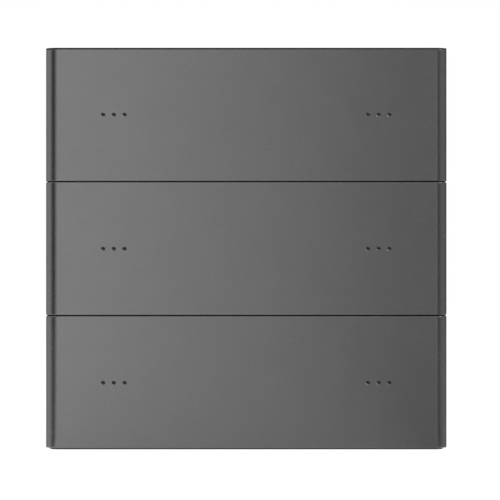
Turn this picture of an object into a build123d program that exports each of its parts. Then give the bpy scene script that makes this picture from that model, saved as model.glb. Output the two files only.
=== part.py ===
from build123d import *
import math
import os

# Wall battery unit: three pull-out lithium modules on rails in a sheet-metal frame that bolts to a wall.
# Millimetres. X is the width, Z is up, and the front faces -Y. The wall's surface is the plane Y = 0,
# and the origin is the centre of the four wall bolts, which is also the middle of the unit's height.

# ---- driving dimensions ----
WIDTH = 600.0                # over the front covers
HEIGHT = 599.0               # base plate to top cap
DEPTH = 210.0                # wall to front face
MODULES = 3
PITCH = 199.85               # module to module
CORNER_R = 18.0              # upright front corners of the covers and the cap
SHEET = 1.5                  # cap, base and module sheet
SEAM = 1.5                   # gap between two covers
EDGE_GAP = 0.5               # gap from a cover to the cap or base
COVER_WALL = 3.0             # front and sides
COVER_LEDGE = 3.5            # top and bottom walls, before the end covers are trimmed
COVER_DEPTH = 22.0           # front face to the covers' rear edges
COVER_EDGE_R = 1.2

DIMPLE_R = 3.4               # indicator dimples
DIMPLE_DEEP = 1.0
DIMPLE_PITCH = 16.0
DIMPLE_GROUP_X = 197.6       # centre of each group of three
PIPE_R = 2.7
PIPE_HOLE_R = 2.75

SIDE_T = 2.0
SIDE_INSET = 1.0             # side panels sit this far inside the covers' width
SHADOW_GAP = 2.0             # between the covers' rear edges and the side panels
FLANGE = 16.0
WALL_T = 3.0
BACK_BOX = 45.5              # wall to the front of the wiring space
BASE_INSET = 6.0             # base plate, in from the covers' sides
CHANNEL_H = 39.5             # cable channel under the wiring space

BOLT_X = 400.0               # wall bolts
BOLT_Z = 440.0
BOLT_HOLE_R = 4.5            # for M8

POCKET_Y = (-42.0, -10.0)    # control pocket in the right side
POCKET_Z = (40.0, 180.0)
POCKET_DEEP = 17.5
CONTROL_Y = -26.0
ISOLATOR_Z = 140.0
BUTTON_Z = 75.0
BUTTON_R = 7.0
BUTTON_TRAVEL = 1.5

RAIL_T = 2.0
RAIL_LEDGE = 18.0
RAIL_LEG = 20.0
RAIL_GAP = 0.3               # rail to module case

CASE_HALF_W = 293.0
CASE_BACK = -49.0
CASE_FRONT = -188.0
CASE_H = 188.5
CASE_LIFT = 5.6              # cover's lower edge to the case's floor
CASE_FLANGE = 10.0           # sides of the front opening
CASE_FLANGE_LOW = 6.0
CASE_FLANGE_TOP = 13.5
CASE_FLANGE_T = 2.0
GASKET_T = 1.5
LID_T = 2.0

CELLS = 16
CELL_T = 28.0
CELL_W = 130.0
CELL_H = 158.0
TERMINAL_H = 3.0
BUSBAR_T = 2.0
END_PLATE_T = 8.0
STRAP_T = 1.0
STACK_X = -279.0             # outer face of the first end plate

GLAND_X = (-34.0, 34.0)      # cable glands
GLAND_Y = -25.0
GLAND_BORE_R = 8.0
GLAND_THREAD_R = 12.5
STUD_R = 3.0                 # earth stud, M6
STUD_X = -110.0
PORTS_X = 120.0              # data port block
PORT_W = 12.0
PORT_D = 9.0
PORT_DEEP = 13.0
PORT_APART = 18.0

PLUG_X = 234.0               # blind-mate connector
PLUG_HALF_W = 22.0
PLUG_HALF_H = 10.0
PLUG_CLEAR = 0.6

# ---- worked out ----
FRONT = -DEPTH
TOP = HEIGHT / 2
BOTTOM = -HEIGHT / 2
COVER_H = PITCH - SEAM
COVER_BACK = FRONT + COVER_DEPTH
SIDE_X = WIDTH / 2 - SIDE_INSET
SIDE_IN = SIDE_X - SIDE_T
SIDE_FRONT = COVER_BACK + SHADOW_GAP
SIDE_BOTTOM = BOTTOM + SHEET
SIDE_TOP = TOP - SHEET
GLAND_PLATE_Z = BOTTOM + CHANNEL_H
LID_BACK = CASE_FRONT - GASKET_T
LID_FRONT = LID_BACK - LID_T
CASE_IN_W = CASE_HALF_W - SHEET
OPEN_HALF_W = CASE_IN_W - CASE_FLANGE
STACK_Y = (CASE_BACK - SHEET + CASE_FRONT + CASE_FLANGE_T) / 2
STACK_LENGTH = CELLS * CELL_T + 2 * END_PLATE_T
POCKET_FLOOR = SIDE_X - POCKET_DEEP
DIMPLES = [g + k * DIMPLE_PITCH for g in (-DIMPLE_GROUP_X, DIMPLE_GROUP_X) for k in (-1, 0, 1)]


# ---- shared shapes ----
def block(x, y, z):
    """A box from three (low, high) pairs."""
    middle = [(a + b) / 2 for a, b in (x, y, z)]
    return Pos(*middle) * Box(x[1] - x[0], y[1] - y[0], z[1] - z[0])


def rod_x(x, y, z, radius):
    """A round bar along X from x[0] to x[1]."""
    return Pos((x[0] + x[1]) / 2, y, z) * Rot(0, 90, 0) * Cylinder(radius, x[1] - x[0])


def rod_y(x, y, z, radius):
    """A round bar along Y from y[0] to y[1]."""
    return Pos(x, (y[0] + y[1]) / 2, z) * Rot(90, 0, 0) * Cylinder(radius, y[1] - y[0])


def rod_z(x, y, z, radius):
    """A round bar along Z from z[0] to z[1]."""
    return Pos(x, y, (z[0] + z[1]) / 2) * Cylinder(radius, z[1] - z[0])


def hex_z(x, y, z, across_flats):
    """A hexagonal bar along Z from z[0] to z[1]."""
    outline = RegularPolygon(across_flats / math.sqrt(3), 6)
    return Pos(x, y, z[0]) * extrude(outline, amount=z[1] - z[0])


def hex_y(x, y, z, across_flats):
    """A hexagonal bar along Y from y[0] to y[1]."""
    outline = RegularPolygon(across_flats / math.sqrt(3), 6)
    return Pos(x, y[1], z) * Rot(90, 0, 0) * extrude(outline, amount=y[1] - y[0])


def front_outline(half_w, front, back, radius):
    """A plan outline with two rounded front corners."""
    arc = radius * (1 - math.sqrt(0.5))
    edges = [
        Line((-half_w, back), (-half_w, front + radius)),
        ThreePointArc((-half_w, front + radius), (-half_w + arc, front + arc), (-half_w + radius, front)),
        Line((-half_w + radius, front), (half_w - radius, front)),
        ThreePointArc((half_w - radius, front), (half_w - arc, front + arc), (half_w, front + radius)),
        Line((half_w, front + radius), (half_w, back)),
        Line((half_w, back), (-half_w, back)),
    ]
    return make_face(edges)


def front_slab(half_w, front, back, radius, z):
    """The plan outline raised from z[0] to z[1]."""
    return Pos(0, 0, z[0]) * extrude(front_outline(half_w, front, back, radius), amount=z[1] - z[0])


def rounded_block(x, y, z, radius, axis):
    """A block whose edges along one axis are rounded."""
    body = block(x, y, z)
    return fillet(body.edges().filter_by(axis), radius)


def save(name, *pieces):
    """Write one sub-part. Several pieces make a group of separate solids."""
    solids = [s for piece in pieces for s in piece.solids()]
    shape = solids[0] if len(solids) == 1 else Compound(children=solids)
    export_step(shape, f"parts/{name}.step")


# ---- countersunk M3 screws that hold the frame together ----
SCREW_R = 1.5
SCREW_HOLE_R = 1.6
SCREW_HEAD_R = 3.0
SCREW_SHORT = 3.6            # through the cap or base and a flange
SCREW_LONG = 6.5             # through the wall plate and a flange
SCREW_SEAT_CLEAR = 0.05
CAP_SCREWS = [(s * (SIDE_IN - 8.0), y) for s in (-1, 1) for y in (-20.0, -95.0, -170.0)]
BASE_SCREWS = [(s * (SIDE_IN - 8.0), y) for s in (-1, 1) for y in (-62.0, -118.0, -174.0)]
BACK_SCREWS = [(s * (SIDE_IN - 8.0), z) for s in (-1, 1) for z in (-270.0, -90.0, 90.0, 270.0)]


def screw_tool(radius, head_r, length):
    """A countersunk screw shape pointing down -Z, its head flush with Z = 0."""
    head = Pos(0, 0, -(head_r - radius) / 2) * Cone(radius, head_r, head_r - radius)
    return head + Pos(0, 0, -length / 2) * Cylinder(radius, length)


def screw_places():
    """Each frame screw's head centre, with its shank pointing into the unit, and its length."""
    places = [(Pos(x, y, TOP), SCREW_SHORT) for x, y in CAP_SCREWS]
    places += [(Pos(x, y, BOTTOM) * Rot(180, 0, 0), SCREW_SHORT) for x, y in BASE_SCREWS]
    places += [(Pos(x, 0, z) * Rot(-90, 0, 0), SCREW_LONG) for x, z in BACK_SCREWS]
    return places


def cut_screws(body):
    """Countersunk clearance holes for every frame screw."""
    for place, length in screw_places():
        body = body - place * screw_tool(SCREW_HOLE_R, SCREW_HEAD_R + SCREW_SEAT_CLEAR, length + 0.2)
    return body


def frame_screws():
    """Hexagon socket countersunk screws."""
    socket = extrude(RegularPolygon(1.1, 6), amount=-1.2)
    screws = []
    for place, length in screw_places():
        screws.append(place * (screw_tool(SCREW_R, SCREW_HEAD_R, length) - socket))
    save("frame_screws", *screws)


# ---- frame ----
WALL_RIM = 44.0
WALL_RECESS = 1.0


def wall_plate():
    plate = rounded_block((-SIDE_X, SIDE_X), (-WALL_T, 0), (BOTTOM, SIDE_TOP), 4.0, Axis.Y)
    hollow_w = BOLT_X / 2 - WALL_RIM
    hollow_z = BOLT_Z / 2 + WALL_RIM
    recess = block((-hollow_w, hollow_w), (-WALL_RECESS, 1), (-hollow_z, hollow_z))
    plate = plate - fillet(recess.edges().filter_by(Axis.Y), 20.0)
    for x in (-BOLT_X / 2, BOLT_X / 2):
        for z in (-BOLT_Z / 2, BOLT_Z / 2):
            plate = plate - rod_y(x, (-WALL_T - 1, 1), z, BOLT_HOLE_R)
    save("wall_plate", cut_screws(plate))


SLOT_COUNT = 9
SLOT_PITCH = 9.0
SLOT_LENGTH = 34.0
SLOT_W = 3.0
SLOT_Y = -112.0
SLOT_GROUPS_Z = (-236.0, 236.0)


def side_panel(side):
    """A folded side panel; side is -1 for the left one and 1 for the right."""
    def span(low, high):
        return (low, high) if side > 0 else (-high, -low)

    panel = block(span(SIDE_IN, SIDE_X), (SIDE_FRONT, -WALL_T), (SIDE_BOTTOM, SIDE_TOP))
    in_x = SIDE_IN - FLANGE
    panel = panel + block(span(in_x, SIDE_IN), (-WALL_T - SIDE_T, -WALL_T), (SIDE_BOTTOM, SIDE_TOP))
    panel = panel + block(span(in_x, SIDE_IN), (SIDE_FRONT, -WALL_T), (SIDE_TOP - SIDE_T, SIDE_TOP))
    panel = panel + block(span(in_x, SIDE_IN), (SIDE_FRONT, CASE_BACK), (SIDE_BOTTOM, SIDE_BOTTOM + SIDE_T))
    for middle in SLOT_GROUPS_Z:
        for k in range(SLOT_COUNT):
            z = middle + (k - (SLOT_COUNT - 1) / 2) * SLOT_PITCH
            slot = block(
                span(SIDE_IN - 1, SIDE_X + 1),
                (SLOT_Y - SLOT_LENGTH / 2, SLOT_Y + SLOT_LENGTH / 2),
                (z - SLOT_W / 2, z + SLOT_W / 2),
            )
            panel = panel - fillet(slot.edges().filter_by(Axis.X), SLOT_W / 2 - 0.01)
    return cut_screws(panel)


def left_side():
    save("left_side", side_panel(-1))


def right_side():
    """The right panel carries the recessed control pocket."""
    low_y, high_y = POCKET_Y
    low_z, high_z = POCKET_Z
    tray_x = (POCKET_FLOOR - SHEET, SIDE_X)
    tray = rounded_block(
        tray_x, (low_y - SHEET, high_y + SHEET), (low_z - SHEET, high_z + SHEET), 6.0 + SHEET, Axis.X
    )
    hollow = rounded_block((POCKET_FLOOR, SIDE_X + 1), POCKET_Y, POCKET_Z, 6.0, Axis.X)
    panel = side_panel(1) + tray - hollow
    floor = (POCKET_FLOOR - SHEET - 1, POCKET_FLOOR + 1)
    panel = panel - rod_x(floor, CONTROL_Y, ISOLATOR_Z, SHAFT_R + 0.4)
    panel = panel - rod_x(floor, CONTROL_Y, BUTTON_Z, SWITCH_R + 0.2)
    save("right_side", panel)


def top_cap():
    cap = front_slab(WIDTH / 2, FRONT, 0, CORNER_R, (TOP - SHEET, TOP))
    save("top_cap", cut_screws(cap))


def base_plate():
    base = front_slab(
        WIDTH / 2 - BASE_INSET, FRONT + 4.0, -BACK_BOX, CORNER_R - 4.0, (BOTTOM, BOTTOM + SHEET)
    )
    save("base_plate", cut_screws(base))


def gland_plate():
    """Folded floor of the wiring space, with the cable channel under it."""
    level = block((-SIDE_IN, SIDE_IN), (-BACK_BOX, -WALL_T - SIDE_T), (GLAND_PLATE_Z, GLAND_PLATE_Z + SHEET))
    front = block((-SIDE_IN, SIDE_IN), (-BACK_BOX - SHEET, -BACK_BOX), (SIDE_BOTTOM, GLAND_PLATE_Z + SHEET))
    plate = level + front
    through = (GLAND_PLATE_Z - 1, GLAND_PLATE_Z + SHEET + 1)
    for x in GLAND_X:
        plate = plate - rod_z(x, GLAND_Y, through, GLAND_THREAD_R + 0.2)
    plate = plate - rod_z(STUD_X, GLAND_Y, through, STUD_R + 0.1)
    save("gland_plate", plate)


GLAND_BELOW = 24.0           # under the gland plate
GLAND_ABOVE = 10.0
GLAND_HEX_H = 8.0
GLAND_HEX_FLATS = 30.0
GLAND_DOME_R = 14.0
GLAND_NUT_H = 5.0
GLAND_NUT_FLATS = 32.0


def cable_glands():
    """Two M25 glands, each with its lock nut above the plate."""
    pieces = []
    low = GLAND_PLATE_Z - GLAND_BELOW
    high = GLAND_PLATE_Z + GLAND_ABOVE
    hex_low = GLAND_PLATE_Z - GLAND_HEX_H
    nut_low = GLAND_PLATE_Z + SHEET
    for x in GLAND_X:
        body = hex_z(x, GLAND_Y, (hex_low, GLAND_PLATE_Z), GLAND_HEX_FLATS)
        dome = rod_z(x, GLAND_Y, (low, hex_low), GLAND_DOME_R)
        dome = chamfer(dome.edges().group_by(Axis.Z)[0], 3.0)
        thread = rod_z(x, GLAND_Y, (GLAND_PLATE_Z, high), GLAND_THREAD_R)
        bore = rod_z(x, GLAND_Y, (low - 1, high + 1), GLAND_BORE_R)
        nut = hex_z(x, GLAND_Y, (nut_low, nut_low + GLAND_NUT_H), GLAND_NUT_FLATS)
        pieces.append(body + dome + thread - bore)
        pieces.append(nut - rod_z(x, GLAND_Y, (GLAND_PLATE_Z, high + 1), GLAND_THREAD_R + 0.1))
    save("cable_glands", *pieces)


STUD_LENGTH = 16.0           # under its nut
STUD_NUT_H = 5.0
STUD_NUT_FLATS = 10.0
STUD_HEAD_H = 2.0
STUD_HEAD_R = 5.5


def earth_stud():
    """M6 stud with a fixed nut under the gland plate and a head above it."""
    nut_z = GLAND_PLATE_Z - STUD_NUT_H
    head_z = GLAND_PLATE_Z + SHEET
    nut = hex_z(STUD_X, GLAND_Y, (nut_z, GLAND_PLATE_Z), STUD_NUT_FLATS)
    shank = rod_z(STUD_X, GLAND_Y, (nut_z - STUD_LENGTH, head_z), STUD_R)
    head = rod_z(STUD_X, GLAND_Y, (head_z, head_z + STUD_HEAD_H), STUD_HEAD_R)
    save("earth_stud", nut + shank + head)


PORT_BLOCK_HALF_W = 19.0
PORT_BLOCK_HALF_D = 8.0
PORT_BLOCK_H = 18.0


def data_ports():
    """A block of two modular data sockets that open downwards."""
    low = GLAND_PLATE_Z - PORT_BLOCK_H
    block_x = (PORTS_X - PORT_BLOCK_HALF_W, PORTS_X + PORT_BLOCK_HALF_W)
    block_y = (GLAND_Y - PORT_BLOCK_HALF_D, GLAND_Y + PORT_BLOCK_HALF_D)
    body = block(block_x, block_y, (low, GLAND_PLATE_Z))
    port_y = (GLAND_Y - PORT_D / 2, GLAND_Y + PORT_D / 2)
    for x in (PORTS_X - PORT_APART / 2, PORTS_X + PORT_APART / 2):
        body = body - block((x - PORT_W / 2, x + PORT_W / 2), port_y, (low - 1, low + PORT_DEEP))
    save("data_ports", body)


def module_floor(index):
    """Height of the lower edge of cover number index, counted from the top."""
    return (MODULES / 2 - 1 - index) * PITCH + SEAM / 2


def rails():
    """A pair of L-section rails for each module."""
    pieces = []
    for index in range(MODULES):
        ledge_top = module_floor(index) + CASE_LIFT - RAIL_GAP
        low = ledge_top - RAIL_T
        for side in (-1, 1):
            leg_x = sorted((side * SIDE_IN, side * (SIDE_IN - RAIL_T)))
            ledge_x = sorted((side * SIDE_IN, side * (SIDE_IN - RAIL_LEDGE)))
            rail_y = (SIDE_FRONT, -BACK_BOX - SHEET - 1.0)
            leg = block(leg_x, rail_y, (low, low + RAIL_LEG))
            pieces.append(leg + block(ledge_x, rail_y, (low, ledge_top)))
    save("rails", *pieces)


def connector_z(index):
    """Height of module number index's blind-mate connector."""
    return module_floor(index) + COVER_H / 2


SOCKET_FRONT = -38.0
SOCKET_FLOOR = -26.0
SOCKET_BACK = -9.0
SOCKET_HALF_W = 29.0
SOCKET_HALF_H = 17.0
SOCKET_FOOT_OFF = 26.0
SOCKET_FOOT_R = 2.8
BUS_X = (222.0, 246.0)
BUS_W = 16.0
BUS_T = 3.0


def sockets():
    """Fixed halves of the blind-mate connectors, each on two feet that stand on the wall plate."""
    pieces = []
    reach_w = PLUG_HALF_W + PLUG_CLEAR
    reach_h = PLUG_HALF_H + PLUG_CLEAR
    for index in range(MODULES):
        z = connector_z(index)
        body_x = (PLUG_X - SOCKET_HALF_W, PLUG_X + SOCKET_HALF_W)
        body = block(body_x, (SOCKET_FRONT, SOCKET_BACK), (z - SOCKET_HALF_H, z + SOCKET_HALF_H))
        hollow_y = (SOCKET_FRONT - 1, SOCKET_FLOOR)
        body = body - block((PLUG_X - reach_w, PLUG_X + reach_w), hollow_y, (z - reach_h, z + reach_h))
        for x in (PLUG_X - SOCKET_FOOT_OFF, PLUG_X + SOCKET_FOOT_OFF):
            body = body + rod_y(x, (SOCKET_BACK, -WALL_T), z, SOCKET_FOOT_R)
        pieces.append(body)
    save("sockets", *pieces)


def dc_busbars():
    """Two upright bars behind the sockets."""
    low = connector_z(MODULES - 1) - 30.0
    high = connector_z(0) + 14.0
    bars = []
    for x in BUS_X:
        half = BUS_W / 2
        bars.append(block((x - half, x + half), (SOCKET_BACK, SOCKET_BACK + BUS_T), (low, high)))
    save("dc_busbars", *bars)


BOARD_T = 1.6
CONTROL_FACE = -22.0
CONTROL_X = (-190.0, -60.0)
CONTROL_HALF_H = 62.0
POST_IN = 6.0                # posts, in from a board's edges
POST_R = 3.0


def control_board():
    """Master control board on four posts: a processor, a relay, four terminals and four capacitors."""
    face = CONTROL_FACE
    left, right = CONTROL_X
    board = block(CONTROL_X, (face, face + BOARD_T), (-CONTROL_HALF_H, CONTROL_HALF_H))
    for x in (left + POST_IN, right - POST_IN):
        for z in (POST_IN - CONTROL_HALF_H, CONTROL_HALF_H - POST_IN):
            board = board + rod_y(x, (face + BOARD_T, -WALL_T), z, POST_R)
    processor = block((left + 40, left + 62), (face - 2.5, face), (8, 30))
    relay = block((left + 78, left + 106), (face - 12, face), (-50, -30))
    board = board + processor + relay
    for k in range(4):
        terminal_x = left + 12 + 24 * k
        board = board + block((terminal_x, terminal_x + 18), (face - 10, face), (42, 54))
        board = board + rod_y(left + 20 + 18 * k, (face - 14, face), -44, 5.0)
    save("control_board", board)


# ---- controls in the side pocket ----
SHAFT_R = 4.0
SHAFT_CLEAR = 0.06
SHAFT_BORE_END = 255.0
SHAFT_END = 258.0
HANDLE_R = 13.5
HANDLE_T = 4.0
GRIP_HALF_W = 4.0
GRIP_HALF_H = 13.0
GRIP_H = 9.0
SWITCH_R = 9.0
ISOLATOR_BACK = 235.0
ISOLATOR_HALF_H = 30.0


def isolator_body():
    body_z = (ISOLATOR_Z - ISOLATOR_HALF_H, ISOLATOR_Z + ISOLATOR_HALF_H)
    body = block((ISOLATOR_BACK, POCKET_FLOOR - SHEET), (-44, -10), body_z)
    body = body - rod_x((SHAFT_BORE_END, POCKET_FLOOR), CONTROL_Y, ISOLATOR_Z, SHAFT_R + SHAFT_CLEAR)
    save("isolator_body", body)


def isolator_handle():
    """Rotary handle: a disc with a raised grip bar, and its shaft."""
    disc_x = (POCKET_FLOOR + 1.0, POCKET_FLOOR + 1.0 + HANDLE_T)
    disc = rod_x(disc_x, CONTROL_Y, ISOLATOR_Z, HANDLE_R)
    disc = chamfer(disc.edges().group_by(Axis.X)[-1], 0.8)
    grip_top = disc_x[1] + GRIP_H
    grip_y = (CONTROL_Y - GRIP_HALF_W, CONTROL_Y + GRIP_HALF_W)
    grip = block((disc_x[0] + 1, grip_top), grip_y, (ISOLATOR_Z - GRIP_HALF_H, ISOLATOR_Z + GRIP_HALF_H))
    grip = fillet(grip.edges().filter_by(Axis.X), 2.5)
    grip = fillet(grip.edges().group_by(Axis.X)[-1], 1.2)
    mark_y = (CONTROL_Y - 0.8, CONTROL_Y + 0.8)
    mark = block((grip_top - 0.6, grip_top + 1), mark_y, (ISOLATOR_Z + 4, ISOLATOR_Z + 11))
    shaft = rod_x((SHAFT_END, disc_x[0]), CONTROL_Y, ISOLATOR_Z, SHAFT_R)
    save("isolator_handle", disc + grip - mark + shaft)


SWITCH_BACK = 255.0
SWITCH_WALL = 2.0
BEZEL_R = 11.5
BEZEL_T = 3.0
BUTTON_CLEAR = 0.3
BUTTON_END_GAP = 1.0         # left behind the button when it is pressed
BUTTON_PROUD = 6.0           # above the pocket's floor


def power_switch():
    """Barrel and bezel of the push switch."""
    barrel = rod_x((SWITCH_BACK, POCKET_FLOOR), CONTROL_Y, BUTTON_Z, SWITCH_R)
    bezel = rod_x((POCKET_FLOOR, POCKET_FLOOR + BEZEL_T), CONTROL_Y, BUTTON_Z, BEZEL_R)
    bezel = chamfer(bezel.edges().group_by(Axis.X)[-1], 0.8)
    bore_x = (SWITCH_BACK + SWITCH_WALL, POCKET_FLOOR + BEZEL_T + 1)
    bore = rod_x(bore_x, CONTROL_Y, BUTTON_Z, BUTTON_R + BUTTON_CLEAR)
    save("power_switch", barrel + bezel - bore)


def power_button():
    back = SWITCH_BACK + SWITCH_WALL + BUTTON_TRAVEL + BUTTON_END_GAP
    button = rod_x((back, POCKET_FLOOR + BUTTON_PROUD), CONTROL_Y, BUTTON_Z, BUTTON_R)
    save("power_button", fillet(button.edges().group_by(Axis.X)[-1], 1.0))


# ---- modules ----
LID_SCREW_R = 1.95
LID_HOLE_R = 2.1
LID_HEAD_R = 3.5
LID_HEAD_H = 2.2
LID_SCREW_LENGTH = 7.0
LID_SCREW_KEY = 2.5          # hexagon socket, across flats
STUD_X_COVER = 262.0         # studs that the cover snaps on
STUD_UP = 61.0
COVER_STUD_R = 3.0
COVER_STUD_TIP = -203.0
VENT_X = -232.0
VENT_DOWN = 45.0
VENT_R = 5.0
VENT_FLANGE_T = 2.5
VENT_FLATS = 16.0
VENT_DOME_R = 7.0
VENT_PROUD = 5.5
LED_BOARD_BACK = LID_FRONT - 3.0
NECK_HALF_W = 20.0           # the blind-mate plug's neck through the case
NECK_HALF_H = 9.0


def lid_screw_places(floor):
    """X and Z of the lid's screws."""
    low = floor + CASE_LIFT + 4.5
    high = floor + CASE_LIFT + CASE_H - SHEET - CASE_FLANGE_TOP / 2
    side_x = OPEN_HALF_W + CASE_FLANGE / 2
    across = [side_x * k / 2.5 for k in (-2.5, -1.5, -0.5, 0.5, 1.5, 2.5)]
    places = [(x, z) for x in across for z in (low, high)]
    middle = floor + CASE_LIFT + CASE_H / 2
    return places + [(-side_x, middle), (side_x, middle)]


def opening(floor, y):
    """The case's front opening, as a block over y."""
    low = floor + CASE_LIFT + SHEET + CASE_FLANGE_LOW
    high = floor + CASE_LIFT + CASE_H - SHEET - CASE_FLANGE_TOP
    return block((-OPEN_HALF_W, OPEN_HALF_W), y, (low, high))


def drill_lid_holes(body, floor):
    for x, z in lid_screw_places(floor):
        body = body - rod_y(x, (LID_FRONT - 1, CASE_FRONT + CASE_FLANGE_T + 1), z, LID_HOLE_R)
    return body


SKID_H = 6.5
SKID_W = 20.0


def case(name, floor):
    """Sheet case, open at the front, with two floor skids that the cells stand on."""
    low = floor + CASE_LIFT
    high = low + CASE_H
    body = rounded_block((-CASE_HALF_W, CASE_HALF_W), (CASE_FRONT, CASE_BACK), (low, high), 3.0, Axis.Y)
    body = body - block(
        (-CASE_IN_W, CASE_IN_W), (CASE_FRONT + CASE_FLANGE_T, CASE_BACK - SHEET), (low + SHEET, high - SHEET)
    )
    body = body - opening(floor, (CASE_FRONT - 1, CASE_FRONT + CASE_FLANGE_T + 1))
    for y in (STACK_Y - 40, STACK_Y + 40):
        skid_y = (y - SKID_W / 2, y + SKID_W / 2)
        body = body + block((STACK_X, STACK_X + STACK_LENGTH), skid_y, (low + SHEET, low + SHEET + SKID_H))
    z = floor + COVER_H / 2
    neck = block(
        (PLUG_X - NECK_HALF_W, PLUG_X + NECK_HALF_W), (CASE_BACK - SHEET - 1, CASE_BACK + 1),
        (z - NECK_HALF_H, z + NECK_HALF_H),
    )
    save(name, drill_lid_holes(body - neck, floor))


def stack_floor(floor):
    return floor + CASE_LIFT + SHEET + SKID_H


def cell_x(k):
    """Middle of cell k along X."""
    return STACK_X + END_PLATE_T + (k + 0.5) * CELL_T


TERMINAL_Y = 42.0            # each terminal's distance from the stack's middle
TERMINAL_HALF_W = 9.0
TERMINAL_HALF_D = 11.0
CELL_VENT_R = 8.0
CELL_VENT_H = 0.6


def cells(name, floor):
    """Prismatic cells side by side, terminals up."""
    low = stack_floor(floor)
    x = cell_x(0)
    can_y = (STACK_Y - CELL_W / 2, STACK_Y + CELL_W / 2)
    can = rounded_block((x - CELL_T / 2, x + CELL_T / 2), can_y, (low, low + CELL_H), 2.0, Axis.Z)
    top = (low + CELL_H, low + CELL_H + TERMINAL_H)
    for y in (STACK_Y - TERMINAL_Y, STACK_Y + TERMINAL_Y):
        terminal_x = (x - TERMINAL_HALF_W, x + TERMINAL_HALF_W)
        can = can + block(terminal_x, (y - TERMINAL_HALF_D, y + TERMINAL_HALF_D), top)
    can = can + rod_z(x, STACK_Y, (top[0], top[0] + CELL_VENT_H), CELL_VENT_R)
    save(name, *[Pos(k * CELL_T, 0, 0) * can for k in range(CELLS)])


def end_plates(name, floor):
    low = stack_floor(floor)
    span_y = (STACK_Y - CELL_W / 2, STACK_Y + CELL_W / 2)
    first = rounded_block((STACK_X, STACK_X + END_PLATE_T), span_y, (low, low + CELL_H), 5.0, Axis.X)
    save(name, first, Pos(STACK_LENGTH - END_PLATE_T, 0, 0) * first)


STRAP_IN = 40.0              # from the cells' ends to each strap's middle
STRAP_W = 16.0


def straps(name, floor):
    """Two steel bands round the stack."""
    low = stack_floor(floor)
    x = (STACK_X, STACK_X + STACK_LENGTH)
    y = (STACK_Y - CELL_W / 2, STACK_Y + CELL_W / 2)
    bands = []
    for middle in (low + STRAP_IN, low + CELL_H - STRAP_IN):
        z = (middle - STRAP_W / 2, middle + STRAP_W / 2)
        outer = block((x[0] - STRAP_T, x[1] + STRAP_T), (y[0] - STRAP_T, y[1] + STRAP_T), z)
        bands.append(outer - block(x, y, z))
    save(name, *bands)


LINK_IN = 8.0                # a link reaches this far past each cell's middle
LINK_HALF_W = 9.0
LEAD_T = 1.5
LEAD_W = 16.0
LEAD_GAP = 0.4               # links to the long lead that passes over them
LEAD_END = STACK_X + STACK_LENGTH + 60.0
LEAD_STEP = 20.0             # the short lead stops this far before the long one


def busbars(name, floor):
    """Links between neighbouring cells, and the two leads to the electronics."""
    low = stack_floor(floor) + CELL_H + TERMINAL_H
    links = []
    for k in range(CELLS - 1):
        y = STACK_Y + (TERMINAL_Y if k % 2 else -TERMINAL_Y)
        link_x = (cell_x(k) - LINK_IN, cell_x(k + 1) + LINK_IN)
        link = block(link_x, (y - LINK_HALF_W, y + LINK_HALF_W), (low, low + BUSBAR_T))
        links.append(fillet(link.edges().filter_by(Axis.Z), 3.0))
    y = (STACK_Y + TERMINAL_Y - LEAD_W / 2, STACK_Y + TERMINAL_Y + LEAD_W / 2)
    lead_z = low + BUSBAR_T + LEAD_GAP
    first = cell_x(0) - LINK_IN
    long_lead = block((first, LEAD_END), y, (lead_z, lead_z + LEAD_T))
    links.append(long_lead + block((first, cell_x(0) + LINK_IN), y, (low, lead_z)))
    links.append(block((cell_x(CELLS - 1) - LINK_IN, LEAD_END - LEAD_STEP), y, (low, low + LEAD_T)))
    save(name, *links)


BMS_OFF = 8.0                # end plate to board
BMS_HALF_W = 56.0
BMS_IN = 10.0                # from the cells' ends to the board's
SINK_T = 4.0
FIN_H = 16.0
FIN_T = 2.5
FIN_PITCH = 10.0
FINS = 8
CAPACITORS = 4
CAPACITOR_R = 6.0
CAPACITOR_H = 14.0
CAPACITOR_PITCH = 15.0
FUSE_H = 22.0
HEADER_H = 9.0
SHELF_DOWN = 12.0            # shelf for the leads, below the board's top
SHELF_T = 6.0


def bms_unit(name, floor):
    """Battery management board on posts off the end plate, with its parts and a shelf for the leads."""
    base_x = STACK_X + STACK_LENGTH
    face = base_x + BMS_OFF + BOARD_T
    low = stack_floor(floor)
    bottom = low + BMS_IN
    top = low + CELL_H - BMS_IN
    front_y = STACK_Y - BMS_HALF_W
    back_y = STACK_Y + BMS_HALF_W
    unit = block((face - BOARD_T, face), (front_y, back_y), (bottom, top))
    for y in (front_y + POST_IN, back_y - POST_IN):
        for z in (bottom + POST_IN, top - POST_IN):
            unit = unit + rod_x((base_x, face - BOARD_T), y, z, POST_R)
    sink_z = (bottom + 50, top - 16)
    unit = unit + block((face, face + SINK_T), (STACK_Y - 30, STACK_Y + 46), sink_z)
    for k in range(FINS):
        y = STACK_Y - 28 + FIN_PITCH * k
        unit = unit + block((face + SINK_T, face + SINK_T + FIN_H), (y, y + FIN_T), sink_z)
    for k in range(CAPACITORS):
        y = front_y + 12 + CAPACITOR_PITCH * k
        unit = unit + rod_x((face, face + CAPACITOR_H), y, bottom + 34, CAPACITOR_R)
    fuse = block((face, face + FUSE_H), (back_y - 30, back_y - 8), (bottom + 8, bottom + 42))
    header = block((face, face + HEADER_H), (front_y + 6, front_y + 18), (bottom + 52, bottom + 96))
    unit = unit + fuse + header
    lead_y = (STACK_Y + TERMINAL_Y - LEAD_W / 2, STACK_Y + TERMINAL_Y + LEAD_W / 2)
    shelf = top - SHELF_DOWN
    short_end = LEAD_END - LEAD_STEP
    lead_z = low + CELL_H + TERMINAL_H
    unit = unit + block((face, LEAD_END), lead_y, (shelf, shelf + SHELF_T))
    unit = unit + block((short_end - LEAD_W, short_end), lead_y, (shelf, lead_z))
    unit = unit + block((LEAD_END - LEAD_W, LEAD_END), lead_y, (shelf, lead_z + BUSBAR_T + LEAD_GAP))
    save(name, unit)


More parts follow.
